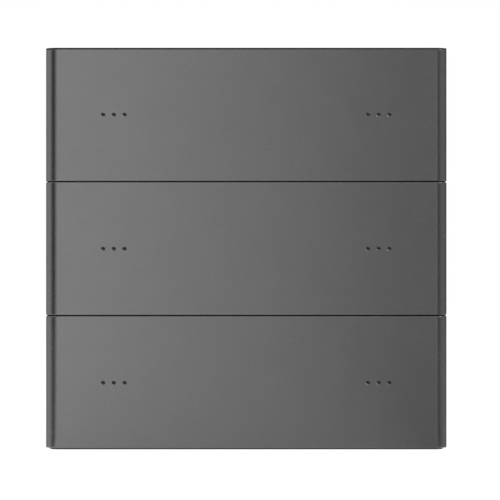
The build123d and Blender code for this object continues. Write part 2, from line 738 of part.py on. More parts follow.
def gasket(name, floor):
    low = floor + CASE_LIFT + 1.0
    high = floor + CASE_LIFT + CASE_H - 1.0
    ring = rounded_block(
        (-CASE_HALF_W + 1, CASE_HALF_W - 1), (LID_BACK, CASE_FRONT), (low, high), 3.0, Axis.Y
    )
    save(name, drill_lid_holes(ring - opening(floor, (LID_BACK - 1, CASE_FRONT + 1)), floor))


def stud_places(floor):
    middle = floor + COVER_H / 2
    return [(x, z) for x in (-STUD_X_COVER, STUD_X_COVER) for z in (middle - STUD_UP, middle + STUD_UP)]


LED_POST_OFF = 24.5
LED_POST_R = 2.0
GROOVE_Y = (-199.5, -198.0)  # snap groove round each cover stud
GROOVE_R = 2.3
PANEL_HALF_W = 150.0
PANEL_PROUD = 2.0
PANEL_IN = 34.0


def led_post_places(floor):
    """Posts that carry the two indicator boards."""
    middle = floor + COVER_H / 2
    groups = (-DIMPLE_GROUP_X, DIMPLE_GROUP_X)
    return [(group + off, middle) for group in groups for off in (-LED_POST_OFF, LED_POST_OFF)]


def lid(name, floor):
    """Front lid with a pressed panel, four cover studs and the posts of the indicator boards."""
    low = floor + CASE_LIFT
    high = low + CASE_H
    body = rounded_block((-CASE_HALF_W, CASE_HALF_W), (LID_FRONT, LID_BACK), (low, high), 3.0, Axis.Y)
    panel_x = (-PANEL_HALF_W, PANEL_HALF_W)
    panel_y = (LID_FRONT - PANEL_PROUD, LID_FRONT)
    panel = rounded_block(panel_x, panel_y, (low + PANEL_IN, high - PANEL_IN), 10.0, Axis.Y)
    body = body + chamfer(panel.edges().group_by(Axis.Y)[0], 1.8)
    for x, z in stud_places(floor):
        stud = rod_y(x, (COVER_STUD_TIP, LID_FRONT), z, COVER_STUD_R)
        stud = chamfer(stud.edges().group_by(Axis.Y)[0], 1.0)
        ring = rod_y(x, GROOVE_Y, z, COVER_STUD_R + 1) - rod_y(x, GROOVE_Y, z, GROOVE_R)
        body = body + stud - ring
    for x, z in led_post_places(floor):
        body = body + rod_y(x, (LED_BOARD_BACK, LID_FRONT), z, LED_POST_R)
    vent_z = floor + COVER_H / 2 - VENT_DOWN
    body = body - rod_y(VENT_X, (LID_FRONT - 1, LID_BACK + 1), vent_z, VENT_R + 0.1)
    save(name, drill_lid_holes(body, floor))


def lid_screws(name, floor):
    screws = []
    for x, z in lid_screw_places(floor):
        head = rod_y(x, (LID_FRONT - LID_HEAD_H, LID_FRONT), z, LID_HEAD_R)
        head = fillet(head.edges().group_by(Axis.Y)[0], 0.6)
        screw = head + rod_y(x, (LID_FRONT, LID_FRONT + LID_SCREW_LENGTH), z, LID_SCREW_R)
        screws.append(screw - hex_y(x, (LID_FRONT - LID_HEAD_H - 1, LID_FRONT - 0.8), z, LID_SCREW_KEY))
    save(name, *screws)


def vent_plug(name, floor):
    """Pressure relief vent in the lid."""
    z = floor + COVER_H / 2 - VENT_DOWN
    flange = hex_y(VENT_X, (LID_FRONT - VENT_FLANGE_T, LID_FRONT), z, VENT_FLATS)
    dome = rod_y(VENT_X, (LID_FRONT - VENT_PROUD, LID_FRONT - VENT_FLANGE_T), z, VENT_DOME_R)
    dome = fillet(dome.edges().group_by(Axis.Y)[0], 1.5)
    save(name, flange + dome + rod_y(VENT_X, (LID_FRONT, LID_BACK + 4), z, VENT_R))


PLUG_FLANGE_HALF_W = 28.0
PLUG_FLANGE_HALF_H = 16.0
PLUG_FLANGE_T = 3.0
NECK_DEPTH = 6.0
TONGUE_END = -28.0


def plug(name, floor):
    """Moving half of the blind-mate connector, through the case's rear wall."""
    z = floor + COVER_H / 2
    flange_x = (PLUG_X - PLUG_FLANGE_HALF_W, PLUG_X + PLUG_FLANGE_HALF_W)
    flange_y = (CASE_BACK, CASE_BACK + PLUG_FLANGE_T)
    flange = block(flange_x, flange_y, (z - PLUG_FLANGE_HALF_H, z + PLUG_FLANGE_HALF_H))
    neck_x = (PLUG_X - NECK_HALF_W, PLUG_X + NECK_HALF_W)
    neck = block(neck_x, (CASE_BACK - NECK_DEPTH, CASE_BACK), (z - NECK_HALF_H, z + NECK_HALF_H))
    tongue_x = (PLUG_X - PLUG_HALF_W, PLUG_X + PLUG_HALF_W)
    tongue = block(tongue_x, (flange_y[1], TONGUE_END), (z - PLUG_HALF_H, z + PLUG_HALF_H))
    tongue = chamfer(tongue.edges().group_by(Axis.Y)[-1], 1.5)
    save(name, flange + neck + tongue)


LED_BOARD_HALF_W = 28.0
LED_BOARD_HALF_H = 8.0
LAMP_HALF_W = 1.7
LAMP_H = 1.4


def led_boards(name, floor):
    """Two indicator boards, each with three lamps."""
    middle = floor + COVER_H / 2
    front = LED_BOARD_BACK - BOARD_T
    board_z = (middle - LED_BOARD_HALF_H, middle + LED_BOARD_HALF_H)
    lamp_z = (middle - LAMP_HALF_W, middle + LAMP_HALF_W)
    boards = []
    for group in (-DIMPLE_GROUP_X, DIMPLE_GROUP_X):
        board_x = (group - LED_BOARD_HALF_W, group + LED_BOARD_HALF_W)
        board = block(board_x, (front, LED_BOARD_BACK), board_z)
        for k in (-1, 0, 1):
            x = group + k * DIMPLE_PITCH
            board = board + block((x - LAMP_HALF_W, x + LAMP_HALF_W), (front - LAMP_H, front), lamp_z)
        boards.append(board)
    save(name, *boards)


PAD_BACK = FRONT + 7.0
PAD_HALF_W = 26.0
PAD_HALF_H = 8.0
PIPE_BAR_HALF_W = 22.0
PIPE_BAR_HALF_H = 4.0
PIPE_BAR_T = 2.5
STUD_SOCKET_TIP = -195.0     # the four sockets that snap on the lid's cover studs
STUD_SOCKET_R = 6.5
STUD_SOCKET_CLEAR = 0.3


def dimple_ball(x, middle):
    """The ball whose cap is one dimple, in the cover and in the end of its light pipe."""
    ball_r = (DIMPLE_R**2 + DIMPLE_DEEP**2) / (2 * DIMPLE_DEEP)
    return Pos(x, FRONT + DIMPLE_DEEP - ball_r, middle) * Sphere(ball_r)


def front_cover(name, floor):
    """The visible cover: a tray with rounded corners, dimples, and four sockets that snap on the lid.

    The first and last covers are trimmed to clear the cap and the base plate.
    """
    low = max(floor, BOTTOM + SHEET + EDGE_GAP)
    high = min(floor + COVER_H, TOP - SHEET - EDGE_GAP)
    body = front_slab(WIDTH / 2, FRONT, COVER_BACK, CORNER_R, (low, high))
    outer = body.edges().group_by(Axis.Z)
    rim = [e for e in outer[0] + outer[-1] if e.center().Y < COVER_BACK - 0.1]
    body = fillet(rim, COVER_EDGE_R)
    body = body - front_slab(
        WIDTH / 2 - COVER_WALL, FRONT + COVER_WALL, COVER_BACK + 1, CORNER_R - COVER_WALL,
        (floor + COVER_LEDGE, floor + COVER_H - COVER_LEDGE),
    )
    middle = floor + COVER_H / 2
    for group in (-DIMPLE_GROUP_X, DIMPLE_GROUP_X):
        pad_x = (group - PAD_HALF_W, group + PAD_HALF_W)
        pad_z = (middle - PAD_HALF_H, middle + PAD_HALF_H)
        body = body + rounded_block(pad_x, (FRONT + 1, PAD_BACK), pad_z, 4.0, Axis.Y)
    for x in DIMPLES:
        body = body - dimple_ball(x, middle)
        body = body - rod_y(x, (FRONT, PAD_BACK + 1), middle, PIPE_HOLE_R)
    for x, z in stud_places(floor):
        body = body + rod_y(x, (FRONT + 1, STUD_SOCKET_TIP), z, STUD_SOCKET_R)
        bore_y = (COVER_STUD_TIP - 1.5, STUD_SOCKET_TIP + 1)
        body = body - rod_y(x, bore_y, z, COVER_STUD_R + STUD_SOCKET_CLEAR)
    save(name, body)


def light_pipes(name, floor):
    """Two smoked mouldings behind the cover, with a prong whose end is the middle of each dimple."""
    middle = floor + COVER_H / 2
    pieces = []
    for group in (-DIMPLE_GROUP_X, DIMPLE_GROUP_X):
        bar_x = (group - PIPE_BAR_HALF_W, group + PIPE_BAR_HALF_W)
        bar_z = (middle - PIPE_BAR_HALF_H, middle + PIPE_BAR_HALF_H)
        bar = block(bar_x, (PAD_BACK, PAD_BACK + PIPE_BAR_T), bar_z)
        for k in (-1, 0, 1):
            x = group + k * DIMPLE_PITCH
            bar = bar + rod_y(x, (FRONT, PAD_BACK + 1), middle, PIPE_R) - dimple_ball(x, middle)
        pieces.append(bar)
    save(name, *pieces)


MODULE_PARTS = [
    case, cells, end_plates, straps, busbars, bms_unit, gasket, lid, lid_screws, vent_plug, plug,
    led_boards, front_cover, light_pipes,
]
FRAME_PARTS = [
    wall_plate, left_side, right_side, top_cap, base_plate, gland_plate, cable_glands, earth_stud,
    data_ports, rails, sockets, dc_busbars, control_board, isolator_body, isolator_handle,
    power_switch, power_button, frame_screws,
]

os.makedirs("parts", exist_ok=True)
for make in FRAME_PARTS:
    make()
for number in range(MODULES):
    for make in MODULE_PARTS:
        make(f"{make.__name__}_{number + 1}", module_floor(number))
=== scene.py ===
import math

import bmesh
import bpy
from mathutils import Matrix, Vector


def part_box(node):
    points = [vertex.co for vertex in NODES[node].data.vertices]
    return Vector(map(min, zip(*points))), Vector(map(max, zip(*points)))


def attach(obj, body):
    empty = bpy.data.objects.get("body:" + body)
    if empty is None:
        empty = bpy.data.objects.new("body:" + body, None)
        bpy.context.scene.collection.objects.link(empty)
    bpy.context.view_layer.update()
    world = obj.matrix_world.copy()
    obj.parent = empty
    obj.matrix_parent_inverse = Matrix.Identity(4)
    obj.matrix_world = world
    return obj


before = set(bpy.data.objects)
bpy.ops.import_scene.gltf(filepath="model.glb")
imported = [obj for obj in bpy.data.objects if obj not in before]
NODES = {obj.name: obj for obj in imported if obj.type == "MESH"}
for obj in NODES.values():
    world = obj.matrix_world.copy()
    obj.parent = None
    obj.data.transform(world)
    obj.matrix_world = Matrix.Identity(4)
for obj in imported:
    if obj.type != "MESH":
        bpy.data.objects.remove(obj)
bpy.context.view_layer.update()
MODULES = (1, 2, 3)


# Camera and stage

VIEW_PLACE = (0.0055, -3.81, -0.0020)
VIEW_LENS = 173.85
VIEW_SENSOR = 36
STAGE_CENTRE = (0.0, -0.21, 0.0)
FLOOR_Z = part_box("base_plate")[0].z
WORLD_LEVEL = 0.5
FLOOR_REACH = 8.0
FLOOR_MATT = 0.85            # the floor's colour for light that bounces off it
FLOOR_GLOW = 0.92            # where the floor is seen, this much of its white is its own
FLOOR_SHADE = 0.2            # and a surface of this colour adds the shadow
KEY_PLACE = (1.2, -2.1, 2.7)
KEY_WATTS = 66
KEY_SIZE = 1.8
FILL_PLACE = (-1.8, -1.9, 2.3)
FILL_WATTS = 18
FILL_SIZE = 2.0

# The tent is a screen round the front that only reflections see. It glows with the soft cards beyond it, each
# (azimuth from the front in degrees, right positive; half its width; level at its middle).
TENT_RADIUS = 1.5
TENT_TOP = 2.4               # at the front
TENT_SIDE_TOP = 0.8          # at the sides and behind
TENT_SPAN = (-156, 138)
TENT_STEP = 3
CARDS = (
    (-124, 32, 0.47), (-89, 36, 0.79), (-17, 22, 1.16), (4, 14, 0.62), (26, 15, 0.57), (79, 42, 0.34),
    (108, 25, 0.22),
)
GROUND_SPAN = (-30, 54)
GROUND_LIFT = 0.001
GROUND_FOOT = 0.85           # the ground card's level at the object's foot, as a share of the tent's

# Low fins on the floor round each front edge continue the tent down to the edge's foot. Nearly level
# reflections meet a fin, and steeper ones pass between them.
FIN_X = 0.295                # the fins' centres, on either side
FIN_Y = -0.205
FIN_FIRST = 0.025            # the nearest fin's radius
FIN_RATIO = 1.6              # from each radius to the next
FIN_COUNT = 9
FIN_RISE = 0.05              # a fin's height, as a share of its radius
FIN_STEP = 6
FINS_RIGHT = (6, 150)        # the azimuths that they span
FINS_LEFT = (-168, -6)

# A small far lamp glints on the far rims of the dimples.
GLINT_FROM = (59, 32)        # azimuth and height in degrees
GLINT_SIZE = 14              # across, in degrees
GLINT_LEVEL = 1.1


def link(thing):
    bpy.context.scene.collection.objects.link(thing)
    return thing


def glow_material(name, level):
    material = bpy.data.materials.new(name)
    material.use_nodes = True
    tree = material.node_tree
    tree.nodes.clear()
    glow = tree.nodes.new("ShaderNodeEmission")
    glow.inputs["Strength"].default_value = level
    out = tree.nodes.new("ShaderNodeOutputMaterial")
    tree.links.new(glow.outputs[0], out.inputs["Surface"])
    return material


def gloss_only(thing):
    """Seen only in reflections, as a photographer's flag or scrim is."""
    thing.visible_camera = False
    thing.visible_diffuse = False
    thing.visible_shadow = False
    thing.visible_transmission = False


def graded_material(name):
    """Glows at the level that each corner of the mesh states."""
    material = glow_material(name, 1.0)
    tree = material.node_tree
    level = tree.nodes.new("ShaderNodeAttribute")
    level.attribute_name = "level"
    tree.links.new(level.outputs["Fac"], tree.nodes["Emission"].inputs["Strength"])
    return material


def graded_strip(name, columns):
    """A strip of panels between columns of (lower corner, lower level, upper corner, upper level)."""
    corners = [corner for low, _, high, _ in columns for corner in (low, high)]
    faces = [(2 * i, 2 * i + 2, 2 * i + 3, 2 * i + 1) for i in range(len(columns) - 1)]
    mesh = bpy.data.meshes.new(name)
    mesh.from_pydata(corners, [], faces)
    mesh.materials.append(graded_material(name))
    levels = mesh.attributes.new("level", "FLOAT", "POINT")
    levels.data.foreach_set("value", [level for _, first, _, last in columns for level in (first, last)])
    thing = link(bpy.data.objects.new(name, mesh))
    gloss_only(thing)


def round_centre(centre, azimuth, radius):
    """The X and Y of a place round a centre."""
    turn = math.radians(azimuth)
    return centre[0] + radius * math.sin(turn), centre[1] - radius * math.cos(turn)


def tent_level(azimuth):
    """Each card fades smoothly to nothing at its sides, and where cards overlap they add up."""
    level = 0.0
    for middle, half_width, peak in CARDS:
        across = min(abs(azimuth - middle) / half_width, 1.0)
        level += peak * (1 - across**2) ** 2
    return level


def tent_top(azimuth):
    return TENT_SIDE_TOP + (TENT_TOP - TENT_SIDE_TOP) * max(math.cos(math.radians(azimuth)), 0.0)


def make_tent():
    wall = []
    ground = []
    ground_z = FLOOR_Z + GROUND_LIFT
    for azimuth in range(TENT_SPAN[0], TENT_SPAN[1] + 1, TENT_STEP):
        level = tent_level(azimuth)
        x, y = round_centre(STAGE_CENTRE, azimuth, TENT_RADIUS)
        wall.append(((x, y, FLOOR_Z), level, (x, y, tent_top(azimuth)), level))
        if GROUND_SPAN[0] <= azimuth <= GROUND_SPAN[1]:
            ground.append(((x, y, ground_z), level, (x, STAGE_CENTRE[1], ground_z), level * GROUND_FOOT))
    graded_strip("tent", wall)
    graded_strip("ground_card", ground)


def level_from(place, azimuth):
    """The tent's level as seen from a place in this direction."""
    along = (math.sin(math.radians(azimuth)), -math.cos(math.radians(azimuth)))
    away = (place[0] - STAGE_CENTRE[0], place[1] - STAGE_CENTRE[1])
    outward = away[0] * along[0] + away[1] * along[1]
    reach = math.sqrt(outward**2 - away[0]**2 - away[1]**2 + TENT_RADIUS**2) - outward
    return tent_level(math.degrees(math.atan2(away[0] + reach * along[0], -(away[1] + reach * along[1]))))


def make_fins():
    low_z = FLOOR_Z + GROUND_LIFT
    for side, centre, (first, last) in (("right", (FIN_X, FIN_Y), FINS_RIGHT),
                                        ("left", (-FIN_X, FIN_Y), FINS_LEFT)):
        for number in range(FIN_COUNT):
            radius = FIN_FIRST * FIN_RATIO**number
            columns = []
            for azimuth in range(first, last + 1, FIN_STEP):
                x, y = round_centre(centre, azimuth, radius)
                level = level_from(centre, azimuth)
                columns.append(((x, y, low_z), level, (x, y, low_z + radius * FIN_RISE), level))
            graded_strip(f"fin_{side}_{number}", columns)


def background_rays(tree):
    """A value of 1 for the rays that show the background: camera, glossy and transmission."""
    path = tree.nodes.new("ShaderNodeLightPath")
    first = tree.nodes.new("ShaderNodeMath")
    first.operation = "MAXIMUM"
    tree.links.new(path.outputs["Is Camera Ray"], first.inputs[0])
    tree.links.new(path.outputs["Is Glossy Ray"], first.inputs[1])
    second = tree.nodes.new("ShaderNodeMath")
    second.operation = "MAXIMUM"
    tree.links.new(first.outputs[0], second.inputs[0])
    tree.links.new(path.outputs["Is Transmission Ray"], second.inputs[1])
    return second.outputs[0]


def make_world():
    world = bpy.data.worlds.new("studio")
    bpy.context.scene.world = world
    world.use_nodes = True
    tree = world.node_tree
    tree.nodes.clear()
    seen = tree.nodes.new("ShaderNodeBackground")
    seen.inputs["Strength"].default_value = 1.0
    seen.inputs["Color"].default_value = (1, 1, 1, 1)
    fill = tree.nodes.new("ShaderNodeBackground")
    fill.inputs["Strength"].default_value = WORLD_LEVEL
    fill.inputs["Color"].default_value = (1, 1, 1, 1)
    mix = tree.nodes.new("ShaderNodeMixShader")
    out = tree.nodes.new("ShaderNodeOutputWorld")
    tree.links.new(background_rays(tree), mix.inputs[0])
    tree.links.new(fill.outputs[0], mix.inputs[1])
    tree.links.new(seen.outputs[0], mix.inputs[2])
    tree.links.new(mix.outputs[0], out.inputs["Surface"])


def make_floor():
    """White where it is seen, with a light shadow on it, and plain and pale for light that bounces off it."""
    material = bpy.data.materials.new("floor")
    material.use_nodes = True
    tree = material.node_tree
    tree.nodes.clear()
    matt = tree.nodes.new("ShaderNodeBsdfDiffuse")
    matt.inputs["Color"].default_value = (FLOOR_MATT, FLOOR_MATT, FLOOR_MATT, 1)
    glow = tree.nodes.new("ShaderNodeEmission")
    glow.inputs["Strength"].default_value = FLOOR_GLOW
    shade = tree.nodes.new("ShaderNodeBsdfDiffuse")
    shade.inputs["Color"].default_value = (FLOOR_SHADE, FLOOR_SHADE, FLOOR_SHADE, 1)
    seen = tree.nodes.new("ShaderNodeAddShader")
    mix = tree.nodes.new("ShaderNodeMixShader")
    out = tree.nodes.new("ShaderNodeOutputMaterial")
    tree.links.new(glow.outputs[0], seen.inputs[0])
    tree.links.new(shade.outputs[0], seen.inputs[1])
    tree.links.new(background_rays(tree), mix.inputs[0])
    tree.links.new(matt.outputs[0], mix.inputs[1])
    tree.links.new(seen.outputs[0], mix.inputs[2])
    tree.links.new(mix.outputs[0], out.inputs["Surface"])
    reach = FLOOR_REACH
    mesh = bpy.data.meshes.new("floor")
    mesh.from_pydata([(-reach, -reach, FLOOR_Z), (reach, -reach, FLOOR_Z), (reach, reach, FLOOR_Z),
                      (-reach, reach, FLOOR_Z)], [], [(0, 1, 2, 3)])
    mesh.materials.append(material)
    link(bpy.data.objects.new("floor", mesh))


def lamp(name, place, watts, size):
    """A square lamp that faces the stage's centre."""
    data = bpy.data.lights.new(name, "AREA")
    data.shape = "SQUARE"
    data.size = size
    data.energy = watts
    thing = link(bpy.data.objects.new(name, data))
    thing.location = place
    away = [place[i] - STAGE_CENTRE[i] for i in range(3)]
    flat = math.hypot(away[0], away[1])
    thing.rotation_euler = (math.atan2(flat, away[2]), 0.0, math.atan2(away[1], away[0]) + math.pi / 2)
    return thing


def make_glint():
    """Seen only in reflections."""
    data = bpy.data.lights.new("glint", "SUN")
    data.angle = math.radians(GLINT_SIZE)
    data.energy = GLINT_LEVEL
    azimuth, height = GLINT_FROM
    thing = link(bpy.data.objects.new("glint", data))
    thing.rotation_euler = (math.radians(90 - height), 0.0, math.radians(azimuth))
    thing.visible_diffuse = False


def make_stage():
    make_world()
    make_floor()
    make_tent()
    make_fins()
    key = lamp("key", KEY_PLACE, KEY_WATTS, KEY_SIZE)
    key.visible_glossy = False
    lamp("fill", FILL_PLACE, FILL_WATTS, FILL_SIZE)
    make_glint()
    data = bpy.data.cameras.new("view")
    data.sensor_width = VIEW_SENSOR
    data.lens = VIEW_LENS
    camera = link(bpy.data.objects.new("view", data))
    camera.location = VIEW_PLACE
    camera.rotation_euler = (math.radians(90), 0, 0)
    bpy.context.scene.camera = camera
    bpy.context.scene.view_settings.view_transform = "Standard"


# Materials

BOARD_FACE_Y = -0.02205      # the control board's parts stand in front of this
BOARD_THICK = 0.0016
BOARD_MARGIN = 0.0001
BMS_POST = 0.008
LED_HEIGHT = 0.0014
TRACK_SCALE = 260
TRACK_GAP = 0.12
TRACK_SOFT = 0.1
TRACK_STAGGER = 0.37
LINE_STRETCH = 0.03          # a brushed line's width, as a share of its length


class Finish:
    """A Principled material that is built up from textures in the piece's own space, in metres."""

    def __init__(self, name, colour, metallic=0.0, roughness=0.5, **sockets):
        self.material = bpy.data.materials.new(name)
        self.material.use_nodes = True
        self.tree = self.material.node_tree
        self.shader = self.tree.nodes["Principled BSDF"]
        self.colour = (*colour, 1.0)
        self.shader.inputs["Base Color"].default_value = self.colour
        self.shader.inputs["Metallic"].default_value = metallic
        self.shader.inputs["Roughness"].default_value = roughness
        for socket, value in sockets.items():
            self.shader.inputs[socket.replace("_", " ")].default_value = value
        self.space = self.tree.nodes.new("ShaderNodeTexCoord").outputs["Object"]
        self.normal = None
        self.colour_now = None

    def node(self, kind, **settings):
        node = self.tree.nodes.new(kind)
        for setting, value in settings.items():
            setattr(node, setting, value)
        return node

    def feed(self, target, value):
        if isinstance(value, bpy.types.NodeSocket):
            self.tree.links.new(value, target)
        else:
            target.default_value = value

    def mapped(self, stretch=(1, 1, 1), turn=(0, 0, 0)):
        mapping = self.node("ShaderNodeMapping")
        self.feed(mapping.inputs["Vector"], self.space)
        mapping.inputs["Rotation"].default_value = turn
        mapping.inputs["Scale"].default_value = stretch
        return mapping.outputs[0]

    def noise(self, size, detail=2.0, rough=0.5, **where):
        """Soft noise with features of this size in metres, from 0 to 1."""
        noise = self.node("ShaderNodeTexNoise")
        self.feed(noise.inputs["Vector"], self.mapped(**where))
        noise.inputs["Scale"].default_value = 1 / size
        noise.inputs["Detail"].default_value = detail
        noise.inputs["Roughness"].default_value = rough
        return noise.outputs["Fac"]

    def cells(self, size):
        """Cells of this size in metres, as three values from 0 to 1 that are random in each cell."""
        cells = self.node("ShaderNodeTexVoronoi")
        self.feed(cells.inputs["Vector"], self.mapped())
        cells.inputs["Scale"].default_value = 1 / size
        apart = self.node("ShaderNodeSeparateColor")
        self.feed(apart.inputs[0], cells.outputs["Color"])
        return apart.outputs

    def math(self, operation, first, second=0.0):
        node = self.node("ShaderNodeMath", operation=operation)
        self.feed(node.inputs[0], first)
        self.feed(node.inputs[1], second)
        return node.outputs[0]

    def spread(self, value, low, high, start=0.3, end=0.7):
        """A value from start to end becomes one from low to high."""
        node = self.node("ShaderNodeMapRange")
        self.feed(node.inputs["Value"], value)
        node.inputs["From Min"].default_value = start
        node.inputs["From Max"].default_value = end
        node.inputs["To Min"].default_value = low
        node.inputs["To Max"].default_value = high
        return node.outputs[0]

    def tint(self, amount, colour):
        """Mixes this colour over what is there, by an amount from 0 to 1."""
        mix = self.node("ShaderNodeMix", data_type="RGBA")
        self.feed(mix.inputs["Factor"], amount)
        self.feed(mix.inputs["A"], self.colour_now or self.colour)
        self.feed(mix.inputs["B"], (*colour, 1.0))
        self.colour_now = mix.outputs["Result"]
        self.feed(self.shader.inputs["Base Color"], self.colour_now)

    def rough(self, value):
        self.feed(self.shader.inputs["Roughness"], value)

    def bump(self, height, depth):
        """Raises the surface by up to this depth in metres, on top of earlier bumps."""
        bump = self.node("ShaderNodeBump")
        bump.inputs["Strength"].default_value = 1.0
        bump.inputs["Distance"].default_value = depth
        self.feed(bump.inputs["Height"], height)
        if self.normal:
            self.feed(bump.inputs["Normal"], self.normal)
        self.normal = bump.outputs["Normal"]
        self.feed(self.shader.inputs["Normal"], self.normal)


def graphite_paint():
    """Metallic powder coat: fine flakes, faint orange peel and a slow drift of tone."""
    finish = Finish("graphite_paint", (0.2, 0.2, 0.2), metallic=0.9, roughness=0.26)
    flake = finish.cells(0.0006)
    finish.tint(finish.spread(flake[0], 0.0, 0.5, 0.4, 1.0), (0.24, 0.24, 0.242))
    drift = finish.noise(0.05, detail=3)
    finish.tint(finish.spread(drift, 0.0, 0.25), (0.18, 0.18, 0.182))
    finish.rough(finish.spread(finish.noise(0.012, detail=4), 0.25, 0.275))
    finish.bump(finish.noise(0.0022, detail=1), 0.000006)
    finish.bump(flake[1], 0.000004)
    return finish.material


def powder_coat(name, colour, light, dark, roughness, grain=0.0007, depth=0.00003):
    """Powder coat with a fine grain whose peaks are painted a lighter colour as a painted highlight, and dust
    dulls it in patches.
    """
    finish = Finish(name, colour, roughness=roughness, Specular_IOR_Level=0.35)
    bumps = finish.noise(grain, detail=2)
    # painted highlight: the grain's peaks are tinted towards the lighter colour
    finish.tint(finish.spread(bumps, 0.0, 0.45, 0.5, 0.75), light)
    patches = finish.noise(0.06, detail=4, rough=0.6)
    finish.tint(finish.spread(patches, 0.0, 0.5), dark)
    finish.rough(finish.spread(patches, roughness - 0.05, roughness + 0.07))
    finish.bump(bumps, depth)
    finish.bump(finish.noise(0.004, detail=1), depth)
    return finish.material


def zinc_steel():
    """Hot-dip galvanised sheet: spangle in cells, each with its own tone and shine."""
    finish = Finish("zinc_steel", (0.5, 0.52, 0.54), metallic=0.85, roughness=0.4)
    cell = finish.cells(0.009)
    finish.tint(finish.spread(cell[0], 0.0, 0.7, 0.0, 1.0), (0.66, 0.68, 0.7))
    streaks = finish.noise(0.002, detail=3, stretch=(1, 1, 0.15))
    finish.tint(finish.spread(streaks, 0.0, 0.35), (0.4, 0.41, 0.43))
    finish.rough(finish.spread(cell[1], 0.3, 0.5, 0.0, 1.0))
    finish.bump(cell[2], 0.00002)
    finish.bump(streaks, 0.00001)
    return finish.material


def brushed(name, colour, dark, metallic, low, high, along, line=0.0004):
    """Rolled or brushed metal, with fine lines along one axis."""
    finish = Finish(name, colour, metallic=metallic, roughness=(low + high) / 2)
    stretch = tuple(LINE_STRETCH if axis == along else 1.0 for axis in "xyz")
    lines = finish.noise(line, detail=3, rough=0.6, stretch=stretch)
    finish.tint(finish.spread(lines, 0.0, 0.6), dark)
    patches = finish.noise(0.01, detail=3)
    finish.tint(finish.spread(patches, 0.0, 0.3), dark)
    finish.rough(finish.spread(lines, low, high))
    finish.bump(lines, 0.00001)
    return finish.material


def moulded(name, colour, light, low, high, grain=0.0005, **sockets):
    """Moulded plastic with a spark-eroded grain and slightly uneven gloss."""
    finish = Finish(name, colour, roughness=(low + high) / 2, **sockets)
    grains = finish.noise(grain, detail=2)
    finish.tint(finish.spread(grains, 0.0, 0.6, 0.45, 0.75), light)
    flow = finish.noise(0.02, detail=3)
    finish.rough(finish.spread(flow, low, high))
    finish.bump(grains, 0.000015)
    return finish.material


def cell_sleeve():
    """Blue film shrunk over each cell, with faint wrinkles."""
    finish = Finish("cell_sleeve", (0.012, 0.07, 0.26), roughness=0.22, Coat_Weight=0.3)
    wrinkles = finish.noise(0.02, detail=5, rough=0.6, stretch=(1, 1, 0.25))
    finish.tint(finish.spread(wrinkles, 0.0, 0.5), (0.02, 0.1, 0.33))
    finish.rough(finish.spread(finish.noise(0.004), 0.18, 0.3))
    finish.bump(wrinkles, 0.0002)
    return finish.material


def circuit_board(name, axis, plane, parts, part_roughness):
    """Green solder mask over copper tracks, and the board's parts, which are past a plane across one axis."""
    finish = Finish(name, (0.01, 0.085, 0.035), roughness=0.32, Coat_Weight=0.4)
    tracks = finish.node("ShaderNodeTexBrick", offset=TRACK_STAGGER, squash=1.0)
    turn = {"X": (0, math.pi / 2, 0), "Y": (math.pi / 2, 0, 0)}[axis]
    finish.feed(tracks.inputs["Vector"], finish.mapped(turn=turn))
    tracks.inputs["Scale"].default_value = TRACK_SCALE
    tracks.inputs["Mortar Size"].default_value = TRACK_GAP
    tracks.inputs["Mortar Smooth"].default_value = TRACK_SOFT
    finish.tint(finish.math("MULTIPLY", tracks.outputs["Fac"], 0.7), (0.03, 0.17, 0.06))
    finish.tint(finish.spread(finish.noise(0.01, detail=4), 0.0, 0.4), (0.007, 0.06, 0.03))
    place = finish.node("ShaderNodeSeparateXYZ")
    finish.feed(place.inputs[0], finish.space)
    operation = "GREATER_THAN" if axis == "X" else "LESS_THAN"
    beyond = finish.math(operation, place.outputs[axis], plane)
    finish.tint(beyond, parts)
    grain = finish.spread(finish.noise(0.003), 0.26, 0.4)
    rough = finish.node("ShaderNodeMix", data_type="FLOAT")
    finish.feed(rough.inputs["Factor"], beyond)
    finish.feed(rough.inputs["A"], grain)
    rough.inputs["B"].default_value = part_roughness
    finish.rough(rough.outputs["Result"])
    finish.bump(tracks.outputs["Fac"], 0.00003)
    return finish.material


def smoked_clear():
    """Smoked polycarbonate, with the matt end of a light pipe."""
    finish = Finish("smoked_clear", (0.01, 0.01, 0.0105), roughness=0.2, Transmission_Weight=0.15, IOR=1.45)
    finish.tint(finish.spread(finish.noise(0.002, detail=3), 0.0, 0.5), (0.018, 0.018, 0.019))
    finish.rough(finish.spread(finish.noise(0.0006, detail=3), 0.15, 0.3))
    finish.bump(finish.noise(0.0004, detail=2), 0.00001)
    return finish.material


